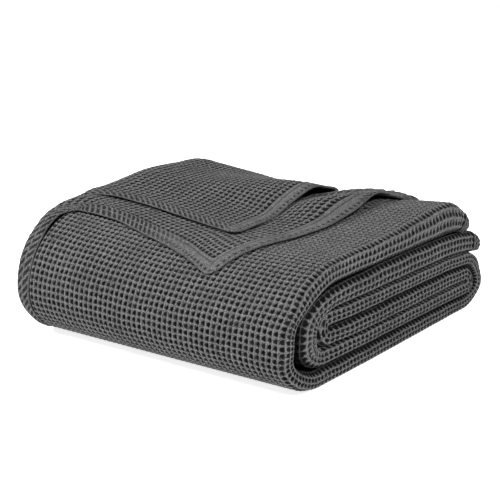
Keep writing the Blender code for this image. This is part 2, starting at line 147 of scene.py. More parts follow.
# ---- flap sizes
# The flaps' four layers by inset: 0 is the upper flap's woven layer, 1 the lower
# flap's, and 2 and 3 are the layers under them that return to the left end.
FLAP_PITCH = 0.0044  # spacing of the flaps' layers
FLAP_LIE = 0.0030  # a woven layer at the front, over the top panel
UNDER_LIE = 0.0022  # the lowest layer, over the top panel
WRAP_X = -0.0175  # outermost layer at the left end
HEM_EDGE_X = 0.0228  # free edge of the band that wraps the left end
UNDER_LENGTHS = (0.038, 0.085)  # a returning layer's points, from the back fold
SEAM_LIFT = 0.0003  # lowest layer in the seam under the left end
SEAM_PITCH = 0.0037  # spacing of the layers in it
CORNER_LIFT = 0.0085  # the row after the seam
CORNER_SHARE = 0.5  # share of the layers' spacing left there
BEHIND_HEM = 0.022  # least distance from the hem to the rows all layers share
SHARED_ROWS = 5
LOOP_STEPS = 5  # points round a flap's back fold
LOOP_GROWTH = 0.008  # extra length of that fold towards its right hem
WRAP_ANGLES = (0.0, 36.0, 66.0, 90.0)  # points round the wrapped corner, in degrees
WRAP_WIDTHS = (0.0, HEM_WIDTH, 0.028, 0.038)  # the same on top, from the free edge
WRAP_DEPTH = 0.030  # depth of that corner in Y
WRAP_LIFT = (30.0, 58.0)  # angles on the front fold where the band leaves it
TOP_START = 0.012  # first cross row on top, behind the last end row
CLIMB_Y = (0.135, 0.222)  # the woven layers climb off the top panel
ARCH_Y = (0.17, 0.245)  # and into their arches
UPPER_ARCH = (0.0145, 0.06, 0.22)  # height, and the x where it rises
UPPER_DROP = (1.00, 0.272, 0.308)  # share that it loses, and the y where it does
LOWER_ARCH = (0.0070, 0.245, 0.300)
LOWER_DROP = (1.50, 0.312, 0.364)
CARRIED = 0.1  # share of the lower arch that the upper flap takes
SETTLE_X = (0.250, 0.280)  # the upper flap's returning layer settles
CLOSE = 0.30  # share by which the layers close up behind
CLOSE_X = (0.12, 0.22)
CLOSE_Y = (0.262, 0.302)
HEM_DROOP = (0.003, 0.010)  # how far the woven layers' right edges hang down
DROOP_Y = (0.120, 0.200)
RAISED_Y = (0.235, 0.300)
HEM_GAP = 0.0034  # least height of that edge over what it lies on
EDGE_STEPS = 6  # rounds of finding where a row meets the free edge
BACK_READ_Y = 0.30  # y at which the tables are read for a row's two ends
FRONT_READ_Y = 0.10
SINK = 0.0046  # the upper flap's front corner settles on the lower one
SINK_X = (0.000, 0.050)
SINK_CELLS = (0.5, 3.5)
SMOOTH_X = (0.130, 0.250)  # the lower flap's hem strokes fade along the front
STROKED_Y = (0.245, 0.275)  # right hems are stroked again towards the back
# x from the outermost layer, share of an inner layer's inset in x, share of
# the full height, drop below it, y of the back fold
END_ROWS = (
    (0.0225, 0.00, 0.000, 0.0000, 0.383),
    (0.0130, 0.70, 0.055, 0.0000, 0.376),
    (0.0055, 1.00, 0.220, 0.0000, 0.362),
    (0.0000, 1.00, 0.450, 0.0000, 0.347),
    (-0.0025, 1.00, 0.680, 0.0000, 0.336),
    (0.0010, 1.00, 1.000, 0.0220, 0.331),
    (0.0075, 0.80, 1.000, 0.0105, 0.328),
    (0.0175, 0.55, 1.000, 0.0035, 0.326),
    (0.0310, 0.25, 1.000, 0.0005, 0.325),
)
TOP_SHARES = (0.08, 0.28, 0.50, 0.75, 1.00)  # cross rows on top, as shares of the way
# angle on the front fold and x of the band's free edge, for each end row
HEM_ROUND_END = (
    *((angle, HEM_EDGE_X) for angle in (-76.0, -52.0, -28.0, 0.0, 25.0, 42.0, 53.0)),
    (61.0, 0.0255), (66.0, 0.034),
)
# free edges and back folds of the flaps: front and back by x and y, right by y and x
LOWER_FRONT = ((0.034, 0.043), (0.065, 0.049), (0.111, 0.046), (0.142, 0.038),
               (0.182, 0.031), (0.223, 0.020), (0.250, 0.010), (0.272, 0.001))
LOWER_RIGHT = ((-0.010, 0.266), (0.001, 0.272), (0.030, 0.283), (0.080, 0.302),
               (0.130, 0.310), (0.200, 0.315), (0.270, 0.311), (0.310, 0.309),
               (0.345, 0.319), (0.365, 0.330))
UPPER_FRONT = ((0.000, 0.086), (0.040, 0.098), (0.080, 0.101), (0.146, 0.096),
               (0.201, 0.086), (0.254, 0.074))
UPPER_RIGHT = ((0.074, 0.254), (0.130, 0.249), (0.200, 0.245), (0.270, 0.245),
               (0.340, 0.240))
UPPER_BACK = ((0.015, 0.325), (0.100, 0.313), (0.180, 0.303), (0.240, 0.300))
LOWER_BACK = ((0.015, 0.325), (0.100, 0.309), (0.180, 0.297), (0.230, 0.293),
              (0.270, 0.322), (0.305, 0.366))

# rise of the stack over its nominal height, a row per x, a column per y
RISE_Y = (0.00, 0.20, 0.34, 0.43)
RISE = (
    (0.00, 0.150, 0.102, 0.000, -0.06),
    (0.10, 0.088, 0.042, -0.050, -0.08),
    (0.20, 0.030, 0.000, -0.082, -0.08),
    (0.30, 0.010, 0.000, -0.035, -0.07),
    (0.39, 0.000, 0.008, 0.010, -0.06),
)
RISE_ROUNDED = 0.12  # rounding of the corners between those columns
RECESS = (0.0055, 0.050, 0.050, 0.057, 0.034)  # hollow of the right end: depth, y, z
DRIFT = (0.0012, 140.0, 9.0)  # waves of the right end: size, rates in z and y
AT_RIGHT = (0.28, 0.38)
BACK_DRIFT = (0.0035, 8.0, 38.0, -0.8)  # waves of the back: size, rates in x and z, phase
AT_BACK = (0.28, 0.42)


# ---- small maths
TINY = 1e-15  # keeps a vector of no length from being divided by 0


def ease(value, low, high):
    """Smooth step from 0 at low to 1 at high."""
    share = held((value - low) / (high - low))
    return share * share * (3.0 - 2.0 * share)


def along(rows, value, column=1):
    """Straight-line reading of a table."""
    return np.interp(value, [r[0] for r in rows], [r[column] for r in rows])


def smooth_line(knots, values, at):
    """Curve through rows of values at the knots, read at the given places."""
    knots = np.asarray(knots, float)
    values = np.asarray(values, float)
    at = np.clip(at, knots[0], knots[-1])
    shape = (-1,) + (1,) * (values.ndim - 1)
    gap = np.diff(knots).reshape(shape)
    slope = np.diff(values, axis=0) / gap
    between = (gap[1:] * slope[:-1] + gap[:-1] * slope[1:]) / (gap[1:] + gap[:-1])
    tangent = np.concatenate([slope[:1], between, slope[-1:]])
    k = np.clip(np.searchsorted(knots, at, side="right") - 1, 0, len(knots) - 2)
    h = gap[k]
    f = ((at - knots[k]).reshape(shape)) / h
    return ((2 * f ** 3 - 3 * f ** 2 + 1) * values[k]
            + (f ** 3 - 2 * f ** 2 + f) * h * tangent[k]
            + (3 * f ** 2 - 2 * f ** 3) * values[k + 1]
            + (f ** 3 - f ** 2) * h * tangent[k + 1])


def bend(step, steps):
    """Squarish half turn: how far out it reaches and how far over it is."""
    a = math.pi * step / steps
    return math.sin(a) ** SQUARE, math.copysign(abs(math.cos(a)) ** SQUARE, math.cos(a))


def unit(vectors):
    return vectors / (np.linalg.norm(vectors, axis=-1, keepdims=True) + TINY)


def held(value):
    """Kept within 0 and 1."""
    return np.clip(value, 0.0, 1.0)


def running(steps):
    """0 and the running total of the steps."""
    return np.concatenate([[0.0], np.cumsum(steps)])


def distance_along(points):
    """Distance from the first of a line of points to each of them."""
    return running(np.linalg.norm(np.diff(points, axis=0), axis=1))


# ---- folded bundle
def section_curve(dense):
    """Middle line of a bundle: distance along it, y, z, normal and thickness."""
    rows = []
    marks = {}

    def add(y, z, dy, dz, thick):
        length = math.hypot(dy, dz)
        rows.append((y, z, dz / length, -dy / length, thick))

    for index, name in enumerate(STACK_ORDER):
        z, thick, y_front, y_back = PANELS[name]
        toward = -1.0 if index % 2 == 0 else 1.0
        y_start, y_end = (y_back, y_front) if toward < 0 else (y_front, y_back)
        steps = dense * PANEL_STEPS
        marks[name] = len(rows)
        for step in range(steps + 1):
            y = y_start + (y_end - y_start) * step / steps
            if name in FREE_PANELS:
                table = np.array(((y_front, z, thick), *FREE_PANELS[name]))
                here, before, after = smooth_line(
                    table[:, 0], table[:, 1:], np.array([y, y - SLOPE_STEP, y + SLOPE_STEP]))
                add(y, here[0], toward,
                    toward * (after[0] - before[0]) / (2.0 * SLOPE_STEP), here[1])
            else:
                add(y, z, toward, 0.0, thick)
        marks[name + " end"] = len(rows) - 1
        if index + 1 == len(STACK_ORDER):
            break
        following = STACK_ORDER[index + 1]
        y_far, z_far, thick_far = FOLDS[(name, following)]
        z_next, thick_next, front_next, back_next = PANELS[following]
        y_next = front_next if toward < 0 else back_next
        quarter = dense * FOLD_STEPS
        for step in range(1, 2 * quarter):
            a = 0.5 * math.pi * step / quarter
            if step <= quarter:
                grown = thick + (thick_far - thick) * math.sin(a) ** 2
                add(y_end + (y_far - y_end) * math.sin(a), z_far + (z - z_far) * math.cos(a),
                    (y_far - y_end) * math.cos(a), -(z - z_far) * math.sin(a), grown)
            else:
                a -= 0.5 * math.pi
                grown = thick_far + (thick_next - thick_far) * math.sin(a) ** 2
                add(y_next + (y_far - y_next) * math.cos(a),
                    z_far + (z_next - z_far) * math.sin(a),
                    -(y_far - y_next) * math.sin(a), (z_next - z_far) * math.cos(a), grown)
    rows = np.array(rows)
    run = distance_along(rows[:, :2])
    return run, rows, {name: run[k] for name, k in marks.items()}


def layer_ends(index):
    """x where a layer starts and stops, in the direction it runs in."""
    forward = LAYER_RUN[index][1] > 0
    start = LEFT_X if index == 0 else (LEFT_BEND if forward else RIGHT_BEND)
    last = index + 1 == len(LAYER_RUN)
    return start, LEFT_X if last else (RIGHT_BEND if forward else LEFT_BEND)


def end_bend(index, stop, steps):
    """Rows of x and place round the bend from a layer to the one after it."""
    if index + 1 == len(LAYER_RUN):
        return []
    (place, run), (following, _) = LAYER_RUN[index:index + 2]
    centre = 0.5 * (place + following)
    reach = 0.5 * (place - following)
    rows = []
    for step in range(1, steps):
        out, over = bend(step, steps)
        rows.append((stop + run * abs(reach) * END_PITCH * out, centre + reach * over))
    return rows


def layer_curve(dense):
    """One bundle across its width: distance along the cloth, x, place."""
    rows = []
    for index, (place, _) in enumerate(LAYER_RUN):
        start, stop = layer_ends(index)
        rows += [(start + (stop - start) * k / dense, place) for k in range(dense + 1)]
        rows += end_bend(index, stop, dense)
    rows = np.array(rows)
    return distance_along(rows * (1.0, MEAN_PITCH)), rows


def front_surface(angle):
    """Outer face of the front fold at an angle, -90 underneath to 90 on top."""
    y_far, z_far, thick_far = FOLDS[("top", "lowest")]
    name = "top" if angle >= 0.0 else "lowest"
    z, thick, y_front = PANELS[name][:3]
    a = math.radians(abs(angle))
    y = y_front + (y_far - y_front) * math.cos(a)
    height = z_far + (z - z_far) * math.sin(a)
    ny = -math.cos(a) / (y_front - y_far)
    nz = math.sin(a) / (z - z_far)
    size = math.hypot(ny, nz)
    half = 0.5 * (thick + (thick_far - thick) * math.cos(a) ** 2)
    return y + half * ny / size, height + half * nz / size, ny / size, nz / size


SURFACE = [front_surface(float(angle))[:2] for angle in range(0, 91, 3)]
SURFACE += [(row[0], row[1] + 0.5 * row[2]) for row in FREE_PANELS["top"][:5]]


def warp(points):
    """Slow rise, recess and drift that keep the pack from being regular."""
    x, y, z = points[..., 0], points[..., 1], points[..., 2]
    flat_x = x.ravel()
    columns = [smooth_line([r[0] for r in RISE], [r[k + 1] for r in RISE], flat_x)
               .reshape(x.shape) for k in range(len(RISE_Y))]
    rise = columns[0]
    for k in range(len(RISE_Y) - 1):
        rise = rise + (columns[k + 1] - columns[k]) * soft_share(y, RISE_Y[k], RISE_Y[k + 1])
    depth, y_middle, y_reach, z_middle, z_reach = RECESS
    recess = depth * np.exp(-((y - y_middle) / y_reach) ** 2 - ((z - z_middle) / z_reach) ** 2)
    drift = DRIFT[0] * np.sin(DRIFT[1] * z + DRIFT[2] * y)
    back_drift = BACK_DRIFT[0] * np.sin(BACK_DRIFT[1] * x + BACK_DRIFT[2] * z + BACK_DRIFT[3])
    return np.stack([x + ease(x, *AT_RIGHT) * (drift - recess) + MOVED[0],
                     y + ease(y, *AT_BACK) * back_drift + MOVED[1],
                     SOLE + (z - SOLE) * (1.0 + rise) + MOVED[2]], axis=-1)


def soft_share(value, low, high):
    """Straight share from low to high with its two corners rounded off."""
    share = (value - low) / (high - low)

    def rounded(part):
        return np.where(part < -RISE_ROUNDED, 0.0, np.where(
            part < RISE_ROUNDED, (part + RISE_ROUNDED) ** 2 / (4 * RISE_ROUNDED), part))

    return np.where(share < 0.5, rounded(share), 1.0 - rounded(1.0 - share))


RUN_V, SECTION, MARKS = section_curve(SECTION_DENSITY)
RUN_U, LAYERS = layer_curve(BEND_STEPS)


def on_section(rows, place):
    """y and z of a layer on rows of the section."""
    w = np.asarray(place * (rows[..., -1] - CLOTH) / LAYER_GAPS)[..., None]
    return rows[..., :2] + w * rows[..., 2:4]


def cells_passed():
    """Cells passed along the section, counted on the layer that is seen."""
    middle = 0.5 * (RUN_V[1:] + RUN_V[:-1])
    layer, size = (np.interp(middle, [MARKS[name] + past for name, past, _ in table],
                             [row[-1] for row in table]) for table in (SEEN_LAYER, CELL_SIZES))
    step = on_section(SECTION[1:], layer) - on_section(SECTION[:-1], layer)
    cells = running(np.linalg.norm(step, axis=1) / size)
    return cells * round(cells[-1]) / cells[-1]


def cells_across():
    """Cells passed across the layers, smaller round the right end."""
    middle = 0.5 * (LAYERS[1:, 0] + LAYERS[:-1, 0])
    size = np.where(middle > RIGHT_BEND, CELL_END, CELL_FRONT)
    return running(np.diff(RUN_U) / size)


CELLS_V = cells_passed()
CELLS_U = cells_across()


def cells_at(mark, shift=0.0):
    """Whole cell nearest to a named place on the section."""
    return int(round(float(np.interp(MARKS[mark] + shift, RUN_V, CELLS_V))))


def bundle_place(s, t):
    """Middle of the cloth at cell places s across and t along the bundle."""
    x, place = (np.interp(s, CELLS_U, column) for column in LAYERS.T)
    y, z, ny, nz, thick = (np.interp(t, CELLS_V, column) for column in SECTION.T)
    size = np.hypot(ny, nz)
    w = place * (thick - CLOTH) / LAYER_GAPS
    return np.stack([x, y + w * ny / size, z + w * nz / size], axis=-1)


# ---- the flaps
def top_surface(y):
    return along(SURFACE, y)


def flap_lie(inset, y):
    """Height of a flap's layer over the top panel, before its arch."""
    if inset > 1:
        return UNDER_LIE + (3 - inset) * FLAP_PITCH
    spread = UNDER_LIE + 2.0 * FLAP_PITCH - FLAP_LIE
    lower = FLAP_LIE + spread * ease(y, *CLIMB_Y)
    return lower if inset == 1 else lower + FLAP_PITCH


def flap_lift(inset, x, y):
    """Height that the arches add to it, less what the layers close up."""
    closed = CLOSE * FLAP_PITCH * ease(x, *CLOSE_X) * ease(y, *CLOSE_Y)
    if inset == 2:
        return -closed - (FLAP_PITCH - closed) * ease(x, *SETTLE_X)
    if inset == 3:
        return 0.0
    upper, lower = (arch[0] * ease(x, *arch[1:]) * ease(y, *ARCH_Y)
                    * (1.0 - drop[0] * ease(y, *drop[1:]))
                    for arch, drop in ((UPPER_ARCH, UPPER_DROP), (LOWER_ARCH, LOWER_DROP)))
    lift = lower if inset == 1 else upper + CARRIED * lower
    return lift - (3 - inset) * closed


def hem_height(inset, x, y):
    """Height of a layer's right edge, which hangs down beside the arch."""
    height = flap_lie(inset, y) + flap_lift(inset, x, y)
    if inset > 1:
        return height
    droop = HEM_DROOP[inset] * ease(y, *DROOP_Y) * (1.0 - ease(y, *RAISED_Y))
    beneath = flap_lie(1, y) if inset == 0 else 0.0
    return max(height - droop, min(height, beneath + HEM_GAP))


def loop_growth(row):
    """Extra length of a flap's back fold at a cross row."""
    share = row - len(END_ROWS)
    if share < 0:
        return 0.0
    return LOOP_GROWTH * TOP_SHARES[min(share, len(TOP_SHARES) - 1)] ** 2


def flap_point(row, inset, y, right):
    """Point of a layer on a cross row, whose right edge is at the given x."""
    depth = inset * FLAP_PITCH
    if row < len(END_ROWS):
        dx, share_in, share_up, drop, _ = END_ROWS[row]
        x = WRAP_X + dx + share_in * depth
        z = (top_surface(y) + flap_lie(inset, y)) * share_up - drop
        if row == 0:
            z = SOLE + SEAM_LIFT + inset * SEAM_PITCH
        if row == 1:
            z = CORNER_LIFT + CORNER_SHARE * depth
        return np.array((x, y, z))
    start = WRAP_X + END_ROWS[-1][0] + TOP_START
    share = row - len(END_ROWS)
    if share == len(TOP_SHARES):
        return np.array((right, y, top_surface(y) + hem_height(inset, right, y)))
    x = start + TOP_SHARES[share] * (right - HEM_WIDTH - start)
    return np.array((x, y, top_surface(y) + flap_lie(inset, y) + flap_lift(inset, x, y)))


def flap_net(inset, first_column, wrapped, front_table, right_table, back_table):
    """Rows and columns of points on the middle of one flap."""
    y_near, y_far = PANELS["lowest"][2:]
    shared_y = [y_near + (y_far - y_near) * k / SHARED_ROWS
                for k in range(first_column, SHARED_ROWS + 1)]
    net = []
    for row in range(len(END_ROWS) + len(TOP_SHARES) + 1):
        def on_layer(layer, y):
            return flap_point(row, layer, y, float(along(right_table, y)))

        is_end = row < len(END_ROWS)
        if is_end:
            y_back = END_ROWS[row][-1]
        else:
            y_back = float(along(back_table, on_layer(inset, BACK_READ_Y)[0]))
        growth = loop_growth(row)
        y_back -= growth
        line = []
        if wrapped and is_end:
            angle, edge_x = HEM_ROUND_END[row]
            ey, ez, ny, nz = front_surface(angle)
            lift = FLAP_LIE * float(ease(angle, *WRAP_LIFT))
            edge = np.array((edge_x, ey + lift * ny, ez + lift * nz))
            y_first = float(edge[1]) + WRAP_DEPTH
            inner = flap_point(row, inset, y_first, 0.0)
            across = (inner - edge) * (1.0, 0.0, 0.0)
            inward = (inner - edge) * (0.0, 1.0, 1.0)
            for turn in WRAP_ANGLES:
                a = math.radians(turn)
                line.append(edge + math.sin(a) * across + (1.0 - math.cos(a)) * inward)
        else:
            guess_x = on_layer(inset, FRONT_READ_Y)[0]
            for width in WRAP_WIDTHS if wrapped else WRAP_WIDTHS[:2]:
                y_edge = 0.0 if wrapped else float(along(front_table, guess_x))
                for _ in range(EDGE_STEPS):
                    spot = on_layer(inset, y_edge + width)
                    if wrapped:
                        y_edge = float(along(front_table, spot[0]))
                line.append(spot)
            y_first = line[-1][1]
        begin = max(y_first + BEHIND_HEM, shared_y[0])
        for y in shared_y:
            y = begin + (y - shared_y[0]) * (y_back - begin) / (shared_y[-1] - shared_y[0])
            line.append(on_layer(inset, y))
        upper = line[-1]
        lower = on_layer(3 - inset, y_back)
        middle = 0.5 * (upper + lower)
        radius = 0.5 * float(np.linalg.norm(upper - lower))
        for step in range(1, LOOP_STEPS + 1):
            a = math.pi * step / LOOP_STEPS
            spot = middle + math.cos(a) * (upper - middle)
            spot[1] += (radius + growth) * math.sin(a)
            line.append(spot)
        line += [on_layer(3 - inset, y_back - length) for length in UNDER_LENGTHS]
        net.append(line)
    return np.array(net)


def knots_of(net, axis, hem_knot, cell, at_end):
    """Cell number of each row of the net: whole cells, and a hem of whole cells."""
    steps = np.linalg.norm(np.diff(net, axis=axis), axis=-1).mean(axis=1 - axis)
    run = running(steps)
    if at_end:
        cells = run / run[hem_knot] * round(run[hem_knot] / cell)
        after = (run[hem_knot:] - run[hem_knot]) / (run[-1] - run[hem_knot]) * HEM_CELLS
        cells[hem_knot:] = cells[hem_knot] + after
        return cells
    before = run[:hem_knot + 1] / run[hem_knot] * HEM_CELLS
    rest = run[hem_knot:] - run[hem_knot]
    rest = HEM_CELLS + rest / rest[-1] * round(rest[-1] / cell)
    return np.concatenate([before[:-1], rest])


# ---- laying the cloth
def cell_places(first, last):
    """Sample places in cells: ridges lie on whole numbers, pits on halves."""
    places = (np.arange(first, last)[:, None] + np.array(SAMPLES)).ravel()
    return np.append(places, last)


def toward_pit(place):
    """0 on a ridge, rising steeply to 1 in the middle of a cell."""
    away = 1.0 - np.abs(place % 1.0 - 0.5) * 2.0
    return held((away - RIDGE) / (1.0 - RIDGE)), away


def chance(s, t):
    """A number from 0 to 1 that differs from cell to cell."""
    mixed = np.sin(MIXERS[0] * np.floor(s) + MIXERS[1] * np.floor(t)) * MIXERS[2]
    return mixed - np.floor(mixed)


def ripple(rates, first, second, phase=0.0):
    return np.sin(rates[0] * first + rates[1] * second + phase)


def waver(s, t):
    """Cells by which the weave has slipped along and across at a place."""
    slow, quick = WAVER
    return (slow * ripple(SLOW_RATES[0], t, s) + quick * ripple(QUICK_RATES[0], t, s),
            slow * ripple(SLOW_RATES[1], s, t, SLOW_PHASE)
            + quick * ripple(QUICK_RATES[1], s, t))


def relief(s, t, hems, edge):
    """Height of the woven face over the middle of the cloth."""
    strokes, plain = hems
    along_edge, into = edge
    hemmed = strokes + plain
    pit_s, away_s = toward_pit(s)
    pit_t, away_t = toward_pit(t)
    woven = PIT * (1.0 + UNEVEN * (2.0 * chance(s, t) - 1.0)) * pit_s * pit_t
    woven = woven + LOW_RIDGE[0] * away_s * (1.0 - away_t)
    woven = woven + LOW_RIDGE[1] * away_t * (1.0 - away_s)
    dash = toward_pit(along_edge + SLANT * into)[0]
    dash = dash * held(STROKE_ENDS * toward_pit(into)[0])
    line = held(1.0 - np.abs(into - LINE_AT) / PRESSED[2])
    dots = held(1.0 - np.abs(into - DOTS_AT) / PRESSED[2])
    pressed = PRESSED[0] * line + PRESSED[1] * dots * toward_pit(along_edge)[0]
    return (CREST - woven * (1.0 - hemmed) - STROKE * dash * strokes - pressed * plain
            - SEAM * 4.0 * hemmed * (1.0 - hemmed))


def facing(base, s, t, turned):
    """Steps of the surface along s and t, and its outward normal."""
    du = np.gradient(base, s, axis=0)
    dv = np.gradient(base, t, axis=1)
    return du, dv, unit(np.cross(du, dv)) * (1.0 if turned else -1.0)


def lay_cloth(name, base, s, t, hems, edge, shaded, rounded, finish, joins=(), turned=False):
    """A closed piece of cloth on a grid of middle points, woven on one face."""
    normal = facing(base, s, t, turned)[2]
    ss, tt = np.meshgrid(s, t, indexing="ij")
    strokes, plain = hems
    hemmed = strokes + plain
    height = (relief(ss, tt, hems, edge) + HEM_SWELL * hemmed) * rounded
    outer = base + normal * height[..., None]
    n = len(SAMPLES)
    coarse = (slice(None, None, n), slice(None, None, n))
    inner = base[coarse] - normal[coarse] * (BACK * rounded[coarse])[..., None]
    rows, columns = len(s), len(t)
    few_rows, few_columns = inner.shape[:2]
    number = np.arange(rows * columns).reshape(rows, columns)
    few = np.arange(few_rows * few_columns).reshape(few_rows, few_columns) + rows * columns
    faces = []

    def quads(a, b, c, d, along_ac):
        first = np.where(along_ac[:, None], np.stack([a, b, c], 1), np.stack([a, b, d], 1))
        second = np.where(along_ac[:, None], np.stack([a, c, d], 1), np.stack([b, c, d], 1))
        faces.extend((first, second))

    i, j = np.indices((rows - 1, columns - 1)).reshape(2, -1)
    same = ((i % n) < n // 2) == ((j % n) < n // 2)
    quads(number[i, j], number[i + 1, j], number[i + 1, j + 1], number[i, j + 1], same)
    i, j = np.indices((few_rows - 1, few_columns - 1)).reshape(2, -1)
    quads(few[i, j], few[i, j + 1], few[i + 1, j + 1], few[i + 1, j],
          np.ones(len(i), bool))

    def rim(fine, plain_row):
        """Band between a fine edge and the inner face's coarse edge."""
        parts = []
        for k in range(len(plain_row) - 1):
            edge = fine[k * n:k * n + n + 1]
            half = n // 2
            for m in range(n):
                anchor = plain_row[k] if m < half else plain_row[k + 1]
                parts.append((edge[m + 1], edge[m], anchor))
            parts.append((edge[half], plain_row[k], plain_row[k + 1]))
        faces.append(np.array(parts))

    rims = {"start": (number[:, 0], few[:, 0]),
            "finish": (number[::-1, -1], few[::-1, -1]),
            "left": (number[0, ::-1], few[0, ::-1]),
            "right": (number[-1, :], few[-1, :])}
    for side, edges in rims.items():
        if side not in joins:
            rim(*edges)
    soft = sum(len(f) for f in faces)
    for side in joins:
        rim(*rims[side])
    triangles = np.concatenate(faces)
    hard = np.arange(len(triangles)) >= soft
    if not turned:
        triangles = triangles[:, ::-1]
    places = np.concatenate([outer.reshape(-1, 3), inner.reshape(-1, 3)])
    marks = [np.concatenate([np.stack(pair, -1).reshape(-1, 2),
                             np.stack([p[coarse] for p in pair], -1).reshape(-1, 2)])
             for pair in ((ss, tt), hems, edge, (shaded, shaded))]
    return make_piece(name, places, triangles, marks, hard, finish)


def in_scene(name, data):
    """A new object of the scene that holds the mesh, light or camera."""
    thing = bpy.data.objects.new(name, data)
    bpy.context.scene.collection.objects.link(thing)
    return thing


def make_piece(name, places, triangles, marks, hard, finish):
    """A mesh of the places, with its marks: cells, hems, free edge and the painted shade of
    the bend gaps.
    """
    places[:, 2] = np.maximum(places[:, 2], ON_FLOOR)
    mesh = bpy.data.meshes.new(name)
    mesh.vertices.add(len(places))
    mesh.vertices.foreach_set("co", places.astype(np.float32).ravel())
    count = len(triangles)
    mesh.loops.add(3 * count)
    mesh.loops.foreach_set("vertex_index", triangles.astype(np.int32).ravel())
    mesh.polygons.add(count)
    mesh.polygons.foreach_set("loop_start", np.arange(0, 3 * count, 3, dtype=np.int32))
    mesh.update(calc_edges=True)
    corner = triangles.ravel()
    for layer, pairs in zip(("weave", "sewn", "edge", "crease"), marks):
        uv = mesh.uv_layers.new(name=layer)
        uv.data.foreach_set("uv", pairs[corner].astype(np.float32).ravel())
    mesh.shade_smooth()
    if hard is not None:
        mesh.polygons.foreach_set("use_smooth", ~hard)
    mesh.materials.append(finish)
    return in_scene(name, mesh)


def edge_rounding(distance):
    """Share of the full thickness at a distance in from a free edge."""
    near = 1.0 - held(distance / EDGE_ROUND)
    return np.sqrt(1.0 - EDGE_THINNED * near * near)


# ---- inner layers
def inner_runs(skin_last, skin_return):
    """Rows of x, place and whether cloth follows, behind the woven pieces."""
    hidden_x, return_x = (bundle_place(np.array([float(s)]), np.array([0.0]))[0, 0]
                          for s in (skin_last, skin_return))
    runs = []
    for index, (place, _) in enumerate(LAYER_RUN):
        start, stop = layer_ends(index)
        if index == 0:
            stop = hidden_x
        if index == 1:
            start = return_x
        runs += [(start + (stop - start) * k / LAYER_STEPS, place, True)
                 for k in range(LAYER_STEPS + 1)]
        if index == 0 or index + 1 == len(LAYER_RUN):
            runs[-1] = (stop, place, False)
        else:
            runs += [(*row, True) for row in end_bend(index, stop, INNER_BEND_STEPS)]
    return runs


def inner_layers(finish, skin_last, skin_return, top_cells):
    """The layers inside the bundles, as one closed plain sheet."""
    coarse_v, section, _ = section_curve(INNER_DENSITY)
    coarse_t = np.interp(coarse_v * RUN_V[-1] / coarse_v[-1], RUN_V, CELLS_V)
    runs = inner_runs(skin_last, skin_return)
    grid = np.zeros((len(runs), len(section), 3))
    for k, (x, place, _) in enumerate(runs):
        grid[k, :, 0] = x
        grid[k, :, 1:] = on_section(section, np.full(len(section), place))
    number = np.arange(len(runs) * len(section)).reshape(len(runs), len(section))
    start_hidden, end_hidden = top_cells
    second_layer = range(LAYER_STEPS + 1, 2 * LAYER_STEPS + 1)
    patches = []
    for k in range(len(runs) - 1):
        if not runs[k][2]:
            continue
        for m in range(len(section) - 1):
            middle = 0.5 * (coarse_t[m] + coarse_t[m + 1])
            if k < LAYER_STEPS and middle < start_hidden:
                continue
            if k in second_layer and middle > end_hidden:
                continue
            patches.append((number[k, m], number[k + 1, m],
                            number[k + 1, m + 1], number[k, m + 1]))
    used = sorted({k for patch in patches for k in patch})
    renumber = {k: n for n, k in enumerate(used)}
    patches = [tuple(renumber[k] for k in patch) for patch in patches]
    places = warp(grid).reshape(-1, 3)[used]
    cells = np.stack([np.repeat([row[0] / CELL_FRONT for row in runs], len(section)),
                      np.tile(coarse_t, len(runs))], -1)[used]
    both, triangles = thickened(places, patches)
    cells = np.concatenate([cells, cells])
    none = np.zeros_like(cells)
    piece = make_piece("inner_layers", both, triangles, (cells, none, cells, none),
                       None, finish)
    piece.data.set_sharp_from_angle(angle=math.radians(HARD_ANGLE))
    return piece


def thickened(places, patches):
    """Both faces and the rim of a sheet of four-cornered patches."""
    normals = np.zeros_like(places)
    edges = {}
    for patch in patches:
        a, b, c, d = (places[k] for k in patch)
        face = np.cross(c - a, d - b)
        for k, corner in enumerate(patch):
            normals[corner] += face
            edges[(corner, patch[(k + 1) % len(patch)])] = True
    normals = unit(normals)
    half = 0.5 * CLOTH
    count = len(places)
    triangles = []
    for a, b, c, d in patches:
        triangles += [(a, b, c), (a, c, d)]
        triangles += [(d + count, c + count, b + count), (d + count, b + count, a + count)]
    for start, end in edges:
        if (end, start) not in edges:
            triangles.append((start, start + count, end + count))
            triangles.append((start, end + count, end))
    both = np.concatenate([places + half * normals, places - half * normals])
    return both, np.array(triangles)


# ---- finish
class Value:
    """A number that varies over the surface, written as an expression."""

    def __init__(self, cloth, socket):
        self.cloth = cloth
        self.socket = socket

    def maths(self, operation, *others):
        node = self.cloth.node("ShaderNodeMath", {"operation": operation},
                               [self, *others])
        return Value(self.cloth, node.outputs[0])

    def __add__(self, other):
        return self.maths("ADD", other)

    __radd__ = __add__

    def __sub__(self, other):
        return self.maths("SUBTRACT", other)

    def __rsub__(self, other):
        return (self * -1.0) + other

    def __mul__(self, other):
        return self.maths("MULTIPLY", other)

    __rmul__ = __mul__

    def fraction(self):
        return self.maths("FRACT")

    def size(self):
        return self.maths("ABSOLUTE")

    def smaller(self, other):
        return self.maths("MINIMUM", other)

    def away_from_ridge(self):
        """0 on a whole number, 1 half way to the next."""
        return 1.0 - (self.fraction() - 0.5).size() * 2.0

    def wave(self):
        return self.maths("SINE")

    def held(self):
        """Kept within 0 and 1."""
        node = self.cloth.node("ShaderNodeClamp", {}, [self])
        return Value(self.cloth, node.outputs[0])

    def past(self, start, steepness):
        """0 up to the start, rising to 1 past it."""
        return ((self - start) * steepness).held()

    def near(self, middle, steepness):
        """1 at the middle, falling to 0 on both sides."""
        return (1.0 - (self - middle).size() * steepness).held()


